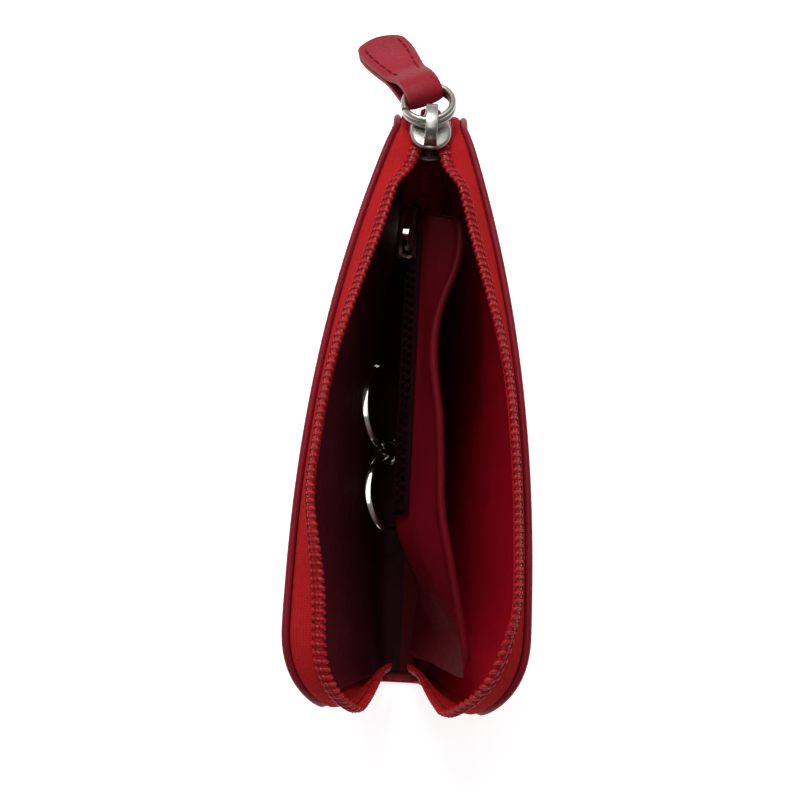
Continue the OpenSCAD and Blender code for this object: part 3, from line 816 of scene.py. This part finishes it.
def coil_stitches(side):
    """Two lines of sewing thread that hold the coil on its tape, dipping between its loops."""
    start, turns = coil_turns()
    p = Piece()
    for line in (COIL_MID - 0.7, COIL_MID + 0.15):
        t = np.arange(turns * THREAD_POINTS + 1) / THREAD_POINTS
        swing = np.cos(2 * math.pi * (t - 0.25))
        height = COIL_LIFT + 0.38 + 0.36 * (0.5 + 0.5 * swing)
        thread, _ = on_tape(side, start + (t + COIL_PHASE[side]) * COIL_PITCH, line + 0.16 * swing, height)
        p.tube(thread, 0.11, sides=6)
    obj = p.draw_in().make(f"zip_stitches_{SIDE_NAME[side]}", [ZIP_THREAD], "zip_tape", angle=60)
    bend_with_flap(obj)


# ---- slider, bail, split ring and leather pull ----

SLIDER_ROT = rot("X", -SLIDER_ANGLE)
SLIDER_AT = np.array([0, STRAIGHT_L, SIDE_H]) + SLIDER_ROT @ np.array([0, 0, SLIDER_R])
PLATE_TOP = 1.9
PLATE_LOW = -3.2
RING_R = 5.4
RING_WIRE = 1.3
RING_TILT = 15.5
RING_ROT = SLIDER_ROT @ rot("X", SLIDER_ANGLE - RING_TILT) @ rot("Y", -5)
RING_AT = SLIDER_AT + SLIDER_ROT @ np.array([-0.8, 0.5, PLATE_TOP + 1.9])


def plate_outline(width, length, inset, z, count=56):
    """A rounded plate, a little fuller towards its far corners."""
    a = np.arange(count) * 2 * math.pi / count
    x = (width / 2 - inset) * np.sign(np.cos(a)) * np.abs(np.cos(a)) ** 0.92
    y = (length / 2 - inset) * np.sign(np.sin(a)) * np.abs(np.sin(a)) ** 0.92
    square = np.clip(np.sin(a), 0, 1) ** 2
    x = x + np.sign(x) * 0.35 * square * np.abs(np.sin(2 * a))
    return np.stack([x, y, np.full(count, z)], -1)


# Layers of the slider's two plates as (height, inset), and its side flanges as (x, y, z) with their radii.
TOP_PLATE = (
    (0.8, 0.5), (0.82, 0.16), (0.95, 0.0), (1.4, 0.0), (1.66, 0.12), (1.84, 0.42), (1.93, 1.0), (1.97, 2.0), (1.98, 3.2)
)
LOW_PLATE = (
    (PLATE_LOW, 1.2), (PLATE_LOW + 0.06, 0.5), (PLATE_LOW + 0.25, 0.1), (PLATE_LOW + 0.5, 0.0),
    (-2.35, 0.0), (-2.18, 0.12), (-2.1, 0.5),
)
TOP_FLANGE = ((4.15, -1.2, 0.95), (4.2, 0.4, 0.45), (4.12, 2.2, 0.3), (3.85, 4.0, 0.35), (3.6, 4.6, 0.8))
LOW_FLANGE = ((4.0, -1.0, -2.3), (4.05, 0.4, -1.9), (4.0, 2.2, -1.75), (3.75, 4.0, -1.8), (3.5, 4.6, -2.2))
TOP_FLANGE_R = (0.3, 0.5, 0.55, 0.5, 0.3)
LOW_FLANGE_R = (0.3, 0.5, 0.5, 0.45, 0.3)
POST_LAYERS = ((-2.2, 0.25), (-1.7, 0.02), (0.5, 0.02), (0.9, 0.25))


def post_outline(z, grow):
    """The post that parts the two coils: a narrow diamond."""
    half = [(0.75 + grow, -3.4), (0.5 + grow * 0.6, -1.9)]
    outline = [(0, -4.3 - grow), *half, (0, -0.7), *((-x, y) for x, y in half[::-1])]
    return np.array([[x, y, z] for x, y in outline])


def slider_body_mesh():
    """Two plates joined by a post, with turned-in flanges along their sides."""
    p = Piece()
    place = (SLIDER_ROT, SLIDER_AT)
    p.stack([plate_outline(9, 9.6, inset, z) for z, inset in TOP_PLATE], place)
    p.stack([plate_outline(8.6, 9.8, inset, z) for z, inset in LOW_PLATE], place)
    p.stack([post_outline(z, grow) for z, grow in POST_LAYERS], place)
    for side in (-1, 1):
        for flange, radius in ((TOP_FLANGE, TOP_FLANGE_R), (LOW_FLANGE, LOW_FLANGE_R)):
            path = np.array(flange) * (side, 1, 1)
            p.tube(path @ SLIDER_ROT.T + SLIDER_AT, radius, sides=8)
    obj = p.make("zip_slider_body", [DARK_CHROME], "dark_chrome", angle=35)
    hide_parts("slider_body")
    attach(obj, "zip_slider")


def strap_sweep(p, path, across, width, thick, bevel, place=None):
    """A flat strap with rounded edges along a path; across is its width direction."""
    path = np.asarray(path, float)
    width = np.broadcast_to(np.asarray(width, float), (len(path),))
    thick = np.broadcast_to(np.asarray(thick, float), (len(path),))
    tangent = unit(np.gradient(path, axis=0))
    across = unit(np.broadcast_to(np.asarray(across, float), path.shape))
    out = unit(np.cross(tangent, across))
    turn = np.radians(np.add.outer(np.arange(4) * 90, [0, 30, 60, 90])).ravel()
    corner = np.radians(np.repeat(np.arange(4) * 90 + 45, 4))
    cx, cy = np.sign(np.cos(corner)), np.sign(np.sin(corner))
    x = cx * (width[:, None] / 2 - bevel) + bevel * np.cos(turn)
    y = cy * (thick[:, None] / 2 - bevel) + bevel * np.sin(turn)
    rings = path[:, None] + across[:, None] * x[..., None] + out[:, None] * y[..., None]
    p.stack(list(rings), place)


def bail_mesh():
    """A bent bridge over the slider's top, widening into its two feet; the ring hangs in it."""
    p = Piece()
    z0 = PLATE_TOP - 0.15
    near = [(-3.9, 0), (-3.88, 1.1), (-3.6, 2.7), (-2.85, 4.05), (-1.5, 4.85)]
    far = [(0.2, 5.05), (1.9, 4.85), (3.3, 4.05), (4.05, 2.7), (4.32, 1.1), (4.35, 0)]
    pts = np.array([(y, z0 + z) for y, z in near + far])
    t = np.linspace(0, len(pts) - 1, 49)
    i = np.clip(t.astype(int), 0, len(pts) - 2)
    prev, nxt = np.maximum(i - 1, 0), np.minimum(i + 2, len(pts) - 1)
    f = (t - i)[:, None]
    a, b, c, d = pts[prev], pts[i], pts[i + 1], pts[nxt]
    smooth = 0.5 * (2 * b + (c - a) * f + (2 * a - 5 * b + 4 * c - d) * f**2 + (3 * b - a - 3 * c + d) * f**3)
    path = np.stack([np.zeros(len(t)), smooth[:, 0], smooth[:, 1]], -1)
    k = np.abs(np.linspace(-1, 1, len(t)))
    strap_sweep(p, path, (1, 0, 0), 2.6 + 0.5 * k**6, 0.95 + 0.2 * k**4, 0.2, place=(SLIDER_ROT, SLIDER_AT))
    obj = p.make("zip_slider_bail", [DARK_CHROME], "dark_chrome", angle=35)
    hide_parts("slider_bail")
    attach(obj, "zip_slider")


def split_ring_mesh():
    """Two turns of wire that step over each other at one place."""
    p = Piece()
    t = np.linspace(0, 2, 145)
    start = math.radians(200)
    ang = start + 2 * math.pi * t
    step = RING_WIRE / 2 * 1.06
    z = -step + 2 * step * ease((t - 0.93) / 0.14)
    path = np.stack([RING_R * np.cos(ang), RING_R + RING_R * np.sin(ang), z], -1)
    p.tube(path @ RING_ROT.T + RING_AT, 0.74, sides=16, up=RING_ROT @ np.array([0, 0, 1.0]))
    obj = p.make("split_ring", [DARK_CHROME], "dark_chrome", angle=50)
    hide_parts("pull_ring")
    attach(obj, "split_ring")


# The pull's length from the ring's wire, widths at its end and neck, and the length of its round tip.
PULL_L = 26.3
PULL_W = 12.2
TIP_L = 5.6
NECK_W = 8.3
PULL_TURN = 26
PULL_TILT = 28
PULL_ROT = RING_ROT @ rot("Z", PULL_TURN) @ rot("X", RING_TILT - PULL_TILT)
PULL_AT = RING_AT + RING_ROT @ (np.array([0, RING_R, 0]) + rot("Z", PULL_TURN) @ np.array([0, RING_R, 0]))
PULL_T = 1.15
LOOP_R = 1.85 + PULL_T / 2
HALF_GAP = PULL_T / 2 + 0.02


def pull_half_width(y):
    y = np.asarray(y, float)
    r = PULL_W / 2
    share = np.clip((y - 2.0) / 16.5, 0, 1)
    body = NECK_W / 2 + (r - NECK_W / 2) * (0.55 * ease(share) + 0.45 * share)
    end = np.clip((y - (PULL_L - TIP_L)) / TIP_L, 0, 1)
    return np.minimum(body, r * np.power(np.maximum(1 - end**2.6, 0.0002), 1 / 2.6))


def pull_lift(y):
    """Height of a layer's middle over the strap's middle plane."""
    return HALF_GAP + (LOOP_R - HALF_GAP) * ease((9.0 - y) / 8.6) + 0.05 * np.sin(math.pi * np.clip(y - 6, 0, 20) / 20)


def pull_mesh():
    """A strap folded round the ring: its two layers lie on each other and are sewn near the edge."""
    p = Piece()
    tip = PULL_L - TIP_L * (1 - np.cos(np.linspace(0, math.pi / 2, 24)))
    flat_y = np.concatenate([tip, np.linspace(PULL_L - TIP_L - 0.5, 0.4, 40)])
    top = np.stack([flat_y, pull_lift(flat_y)], -1)
    a = np.linspace(0.06, math.pi - 0.06, 21)
    turn = np.stack([-(1.7 + LOOP_R) * np.sin(a), LOOP_R * np.cos(a)], -1)
    prof = np.concatenate([top, turn, (top * (1, -1))[::-1]])
    fwd = unit(np.gradient(prof, axis=0))
    out = np.stack([-fwd[:, 1], fwd[:, 0]], -1)
    at_loop = ease((16 - np.abs(np.arange(len(prof)) - len(prof) / 2)) / 8) * 0.2
    cols = np.linspace(-1, 1, 21)
    soft = 0.16 * np.clip(np.abs(cols) - 0.75, 0, 1) / 0.25
    half = pull_half_width(np.maximum(prof[:, 0], 0))
    mid = np.stack([cols * half[:, None], *(np.repeat(prof[:, k, None], 21, 1) for k in (0, 1))], -1)
    normal = np.concatenate([np.zeros((len(prof), 1)), -out], 1)[:, None]
    crown = (0.14 + at_loop[:, None]) * (1 - cols**2)

    def place(points):
        return points @ PULL_ROT.T + PULL_AT

    outer = mid + normal * (PULL_T / 2 + crown - soft)[..., None]
    inner = mid - normal * (PULL_T / 2 - 0.04 - soft * 0.3)[:, None]
    p.shell(place(outer), place(inner))
    for layer in (1, -1):
        for side in (-1, 1):
            for y0 in np.arange(5.2, PULL_L - 4.4, 3.0):
                ys = np.linspace(y0, y0 + 2.1, 7)
                lift = pull_lift(ys) + PULL_T / 2 + 0.16 - 0.16 * np.abs(np.linspace(-1, 1, 7)) ** 3
                path = np.stack([side * (pull_half_width(ys) - 1.75), ys, layer * lift], -1)
                p.tube(place(path), 0.24, sides=6, mat=1)
    obj = p.make("leather_pull_strap", [PULL_LEATHER, PULL_THREAD], "red_leather", angle=50)
    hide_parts("pull_strap")
    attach(obj, "leather_pull")


# ---- zipped pocket ----

POCKET_H = 70.5
POCKET_NEAR_Y = -60
POCKET_FAR_Y = 54
POCKET_GRID = 80
# The line of the pocket's top fold, set after the photograph.
RIDGE_Y = (-60, -51, -44, -36, -26, -18, -3, 1, 12, 20, 30, 39, 46, 54)
RIDGE_X = (12.2, 10.4, 8.9, 7.3, 5.0, 4.8, 3.7, 2.4, 1.7, 3.4, 7.3, 7.2, 5.2, 4.6)
# The pocket's zip: its middle, and how far it rises and leans out across its width.
ZIP_Z = 63.5
ZIP_X = -1.4
ZIP_RISE = 5.0
ZIP_RUN = 4.0
ZIP_FAR_Y = 39.0
ZIP_NEAR_Y = ZIP_FAR_Y - 66.0


def pocket_top_x(y):
    return np.mean([np.interp(y + d, RIDGE_Y, RIDGE_X) for d in (-4, -2, 0, 2, 4)])


def pocket_top_z(y):
    return POCKET_H - 3 * np.clip((-y - 30) / 30, 0, 1) ** 2 - 18 * ease((y - 37) / 17)


def pocket_x(y, z):
    """The wall rises to its zip and leans out over it; past the zip's near end it straightens into one slope."""
    low, high = ZIP_Z - ZIP_RISE / 2, ZIP_Z + ZIP_RISE / 2
    foot, top_x, top_z = base_half(y) - 5.2, pocket_top_x(y), pocket_top_z(y)
    low_x, high_x = ZIP_X - ZIP_RUN / 2, ZIP_X + ZIP_RUN / 2
    if z < low:
        wall = foot + (low_x - foot) * ease((z - 8) / (low - 8))
    elif z < high:
        wall = low_x + ZIP_RUN * (z - low) / ZIP_RISE
    else:
        wall = high_x + (top_x - high_x) * (z - high) / max(1, top_z - high)
    plain = ease((ZIP_NEAR_Y - y) / 25)
    slope = foot + (top_x - foot) * np.clip((z - 8) / (top_z - 8), 0, 1) ** 1.4
    return (1 - plain) * wall + plain * slope


def pocket_mesh():
    """A flat sewn bag: the wall with the zip, a soft fold along the top and the outer wall."""
    ys = np.linspace(POCKET_NEAR_Y, POCKET_FAR_Y, 96)
    zs_low = np.linspace(8.5, 60.8, 30)
    zs_zip = np.linspace(61.0, 66.0, 6)
    wob = smooth_noise(len(ys), POCKET_GRID, 5, 12, 3)
    rows = []
    for i, y in enumerate(ys):
        top = pocket_top_z(y)
        pinch = ease((y - POCKET_NEAR_Y) / 5) * ease((POCKET_FAR_Y - y) / 5)
        gap = 0.25 + 1.75 * pinch
        sunk = min(0, top - 67.0)
        over_zip = np.linspace(66.4 + sunk, top - 0.3, 9)
        up = [*(zs_low + sunk * ease((zs_low - 40) / 20)), *(zs_zip + sunk), *over_zip]
        inner = [[pocket_x(y, z) + 0.2 + 0.45 * wob[i, k] * pinch * (z < 60), y, z] for k, z in enumerate(up)]
        end_x = inner[-1][0]
        fold = [
            [end_x + gap / 2 * (1 - math.cos(a)), y, top - 0.3 + gap / 2 * math.sin(a)]
            for a in np.linspace(0.3, math.pi - 0.3, 7)
        ]
        outer = []
        for k, z in enumerate(up[::-1]):
            wave = 0.5 * wob[i, POCKET_GRID - 1 - k] * pinch * (z < 66)
            outer.append([pocket_x(y, z) + 0.2 + gap + wave, y, z])
        rows.append(inner + fold + outer)
    g = np.array(rows)
    p = Piece()
    p.sleeve(g)
    n, m = g.shape[:2]
    for i in (0, n - 1):
        p.add(g[i], [[k, k + 1, m - 2 - k, m - 1 - k] for k in range(m // 2 - 1)], g[i][:, 1:])
    obj = p.draw_in().make("pocket", [SCARLET_SATIN], "scarlet_satin", angle=70)
    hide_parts("pocket_inner_lower", "pocket_outer_lower", "pocket_inner_upper", "pocket_outer_upper")
    bend_with_flap(obj)


def pocket_tapes():
    """The two tape strips of the pocket's zip, one on each side of its teeth."""
    p = Piece()
    turn = rot("Y", math.degrees(math.atan2(ZIP_RUN, ZIP_RISE)))
    at = np.array([ZIP_X, 0, ZIP_Z])
    ys = np.linspace(ZIP_NEAR_Y, ZIP_FAR_Y, 60)
    for z0, z1 in ((-3.0, -0.35), (0.35, 1.9)):
        zs = np.linspace(z0, z1, 6)
        bulge = 0.12 * np.sin(math.pi * np.linspace(0, 1, 6))
        outer = np.array([[[-0.95 - b, y, z] for z, b in zip(zs, bulge)] for y in ys]) @ turn.T + at
        inner = np.array([[[-0.5, y, z] for z in zs] for y in ys]) @ turn.T + at
        p.shell(outer, inner)
    # The tapes get the nearly black tape, which has the pocket's shade painted in.
    obj = p.make("pocket_zip_tapes_woven", [SHADED_POCKET_TAPE], "dark_satin", angle=60)
    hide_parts("pocket_zip_tapes")
    bend_with_flap(obj)


# ---- key tab and key rings ----

LINK_AT = np.array([-5.9, -3.15, 13.6])
LINK_R = 3.2
LINK_LEAN = math.radians(32)
TAB_LOOP_R = 1.1
TAB_FOOT_Z = 4.6


def key_tab_mesh():
    """A strip of lining cloth, sewn to the purse's floor, whose loop holds the lowest part of the link."""
    p = Piece()
    x0, y0, z0 = LINK_AT - LINK_R * np.array([math.cos(LINK_LEAN), 0, math.sin(LINK_LEAN)])
    a = np.radians(np.linspace(-70, 250, 25))
    loop = [[x0 + TAB_LOOP_R * math.cos(t), y0, z0 + TAB_LOOP_R * math.sin(t)] for t in a]
    path = [[x0 + 0.25, y0, z] for z in np.linspace(TAB_FOOT_Z, z0 - 1.6, 6)] + loop
    path += [[x0 - 0.25, y0, z] for z in np.linspace(z0 - 1.6, TAB_FOOT_Z, 6)]
    strap_sweep(p, path, (0, 1, 0), 1.9, 0.45, 0.1)
    # The tab's cloth is the lining copy with painted shade.
    obj = p.make("key_tab_cloth", [SHADED_LINING_SATIN], "dark_satin", angle=50)
    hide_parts("key_tab")
    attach(obj, "purse_base")


# Each key ring's centre, outer diameter, tilt in degrees and body.
KEY_RINGS = {"far": ((-7.3, 9.15, 14.9), 25, 62, "key_ring_a"), "near": ((-4.5, -14.0, 12.6), 22, 52, "key_ring_b")}
KEY_WIRE = 2.0
KEY_WIRE_HALF = (0.95, 0.66)


def key_ring_mesh(which):
    """A ring of flat wire, its broad face turned to look straight up at the ring's high side."""
    centre, outer_d, tilt, body = KEY_RINGS[which]
    ang = np.linspace(0, 2 * math.pi, 97)[:-1]
    turn = rot("Y", tilt)
    radial = np.stack([np.cos(ang), np.sin(ang), np.zeros(96)], -1) @ turn.T
    axis = turn @ np.array([0, 0, 1.0])
    lean_out = math.radians(90 - tilt)
    face = radial * math.cos(lean_out) + axis * math.sin(lean_out)
    across = np.cross(face, np.cross(radial, axis))
    path = np.array(centre) + radial * (outer_d / 2 - KEY_WIRE / 2)
    a = np.linspace(0, 2 * math.pi, 25)[:-1]
    x = KEY_WIRE_HALF[0] * np.sign(np.cos(a)) * np.abs(np.cos(a)) ** 0.35
    z = KEY_WIRE_HALF[1] * np.sign(np.sin(a)) * np.abs(np.sin(a)) ** 0.25
    p = Piece()
    rings = path[:, None] + across[:, None] * x[:, None] + face[:, None] * z[:, None]
    p.sleeve(np.concatenate([rings, rings[:1]]))
    obj = p.make(f"key_ring_{which}_wire", [RING_STEEL], "ring_steel", angle=50)
    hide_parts(f"key_ring_{which}")
    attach(obj, body)


# ---- everything ----

for side in (FRONT, BACK):
    leather_half(side)
    seam_stitches(side)
    lining_half(side)
    tape_half(side)
    coil_half(side)
    coil_stitches(side)

slider_body_mesh()
bail_mesh()
split_ring_mesh()
pull_mesh()
pocket_mesh()
pocket_tapes()
key_tab_mesh()
for which in KEY_RINGS:
    key_ring_mesh(which)

dress(["zip_end_stop"], DARK_CHROME)
# The pocket's teeth, stops, slider and pull get the darkened materials, which have the pocket's shade painted in.
dress(["pocket_zip_teeth", "pocket_zip_stops"], SHADED_POCKET_TEETH)
dress(["pocket_slider", "pocket_pull"], SHADED_POCKET_METAL)
dress(["key_link"], RING_STEEL)

# ---- floor, light and camera ----

FLOOR_HALF = 1.6
FLOOR_GLOW = 0.68
# The room's light comes mostly from one side: its direction, and its strength away from it and towards it.
WINDOW_SIDE = (-0.5, 0.8, 0.3)
WORLD_DIM = 0.02
WORLD_BRIGHT = 0.46
# Lamps: place, aim, size in metres, and watts.
LAMPS = {
    "key_light": ((-0.06, 0.19, 0.33), (0, 0, 0.08), (0.09, 0.09), 0.44),
    "far_panel": ((0.0, 0.50, 0.74), (0, 0.06, 0.09), (0.9, 0.5), 0.9),
    "top_strip": ((-0.03, 0.18, 0.72), (-0.03, 0.18, 0), (0.18, 1.2), 1.2),
}
# Camera: fitted to the photograph's outline of the mouth, spine and pull.
CAMERA_AT = (-0.0043, -0.0559, 0.2686)
CAMERA_FORWARD = (0.0032, 0.2563, -0.9666)
CAMERA_UP = (-0.0532, 0.9650, 0.2565)
CAMERA_LENS = 42.93
CAMERA_SENSOR = 36


def floor():
    bm = bmesh.new()
    bmesh.ops.create_grid(bm, x_segments=8, y_segments=8, size=FLOOR_HALF)
    mesh = bpy.data.meshes.new("floor")
    bm.to_mesh(mesh)
    bm.free()
    mesh.materials.append(floor_material())
    obj = bpy.data.objects.new("floor", mesh)
    bpy.context.scene.collection.objects.link(obj)


def room_light():
    """A white world that is brighter towards the window's side."""
    world = bpy.data.worlds.new("soft_white")
    world.use_nodes = True
    tree = world.node_tree
    background = tree.nodes["Background"]
    background.inputs["Color"].default_value = (1, 1, 1, 1)
    toward = tree.nodes.new("ShaderNodeTexCoord")
    share = tree.nodes.new("ShaderNodeVectorMath")
    share.operation = "DOT_PRODUCT"
    share.inputs[1].default_value = WINDOW_SIDE
    strength = tree.nodes.new("ShaderNodeMapRange")
    strength.inputs["From Min"].default_value = -1
    strength.inputs["To Min"].default_value = WORLD_DIM
    strength.inputs["To Max"].default_value = WORLD_BRIGHT
    tree.links.new(toward.outputs["Generated"], share.inputs[0])
    tree.links.new(share.outputs["Value"], strength.inputs["Value"])
    tree.links.new(strength.outputs["Result"], background.inputs["Strength"])
    bpy.context.scene.world = world


def area_light(name, at, to, size, watts):
    """A white panel at one point, aimed at another, that the camera doesn't see."""
    data = bpy.data.lights.new(name, "AREA")
    data.shape = "RECTANGLE"
    data.size, data.size_y = size
    data.energy = watts
    obj = bpy.data.objects.new(name, data)
    obj.location = at
    obj.rotation_euler = (Vector(to) - Vector(at)).to_track_quat("-Z", "Y").to_euler()
    obj.visible_camera = False
    bpy.context.scene.collection.objects.link(obj)


def camera():
    """The photograph's viewpoint: from above the open end, looking down into the purse."""
    data = bpy.data.cameras.new("camera")
    data.lens = CAMERA_LENS
    data.sensor_width = CAMERA_SENSOR
    data.clip_start = 0.01
    obj = bpy.data.objects.new("camera", data)
    forward = Vector(CAMERA_FORWARD).normalized()
    right = forward.cross(Vector(CAMERA_UP)).normalized()
    up = right.cross(forward).normalized()
    pose = Matrix((right, up, -forward)).transposed().to_4x4()
    pose.translation = Vector(CAMERA_AT)
    obj.matrix_world = pose
    bpy.context.scene.collection.objects.link(obj)
    bpy.context.scene.camera = obj


floor()
room_light()
for name, lamp in LAMPS.items():
    area_light(name, *lamp)
camera()
bpy.context.scene.view_settings.view_transform = "Standard"
